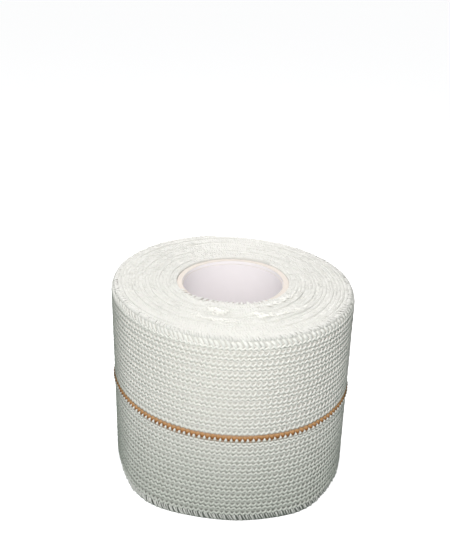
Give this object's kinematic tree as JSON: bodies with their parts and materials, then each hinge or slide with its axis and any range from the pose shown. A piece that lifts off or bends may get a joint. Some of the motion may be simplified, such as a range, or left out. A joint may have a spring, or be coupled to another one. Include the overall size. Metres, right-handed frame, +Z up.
{
  "type": "elastic adhesive bandage roll",
  "caption": "Elastic cloth bandage strip wound on a paperboard core and standing on its end, with a coloured centre yarn, for strapping and support.",
  "frame": {"origin": "on the floor, under the middle of the standing roll, on the axis of its core", "axes": "+Z up along the core's axis, -Y towards the side that faces the viewer, +X to the viewer's right"},
  "size_m": [0.0603, 0.0604, 0.0508],
  "materials": {
    "core_board": "matt pale paperboard, cream at the cut end",
    "crepe_cloth": "off-white crepe weave, matt and slightly fuzzy",
    "centre_yarn": "plied tan-orange yarn, matt"
  },
  "bodies": {
    "root": {"core_tube": "core_board", "bandage_roll": "crepe_cloth", "centre_yarn": "centre_yarn"}
  },
  "joints": []
}
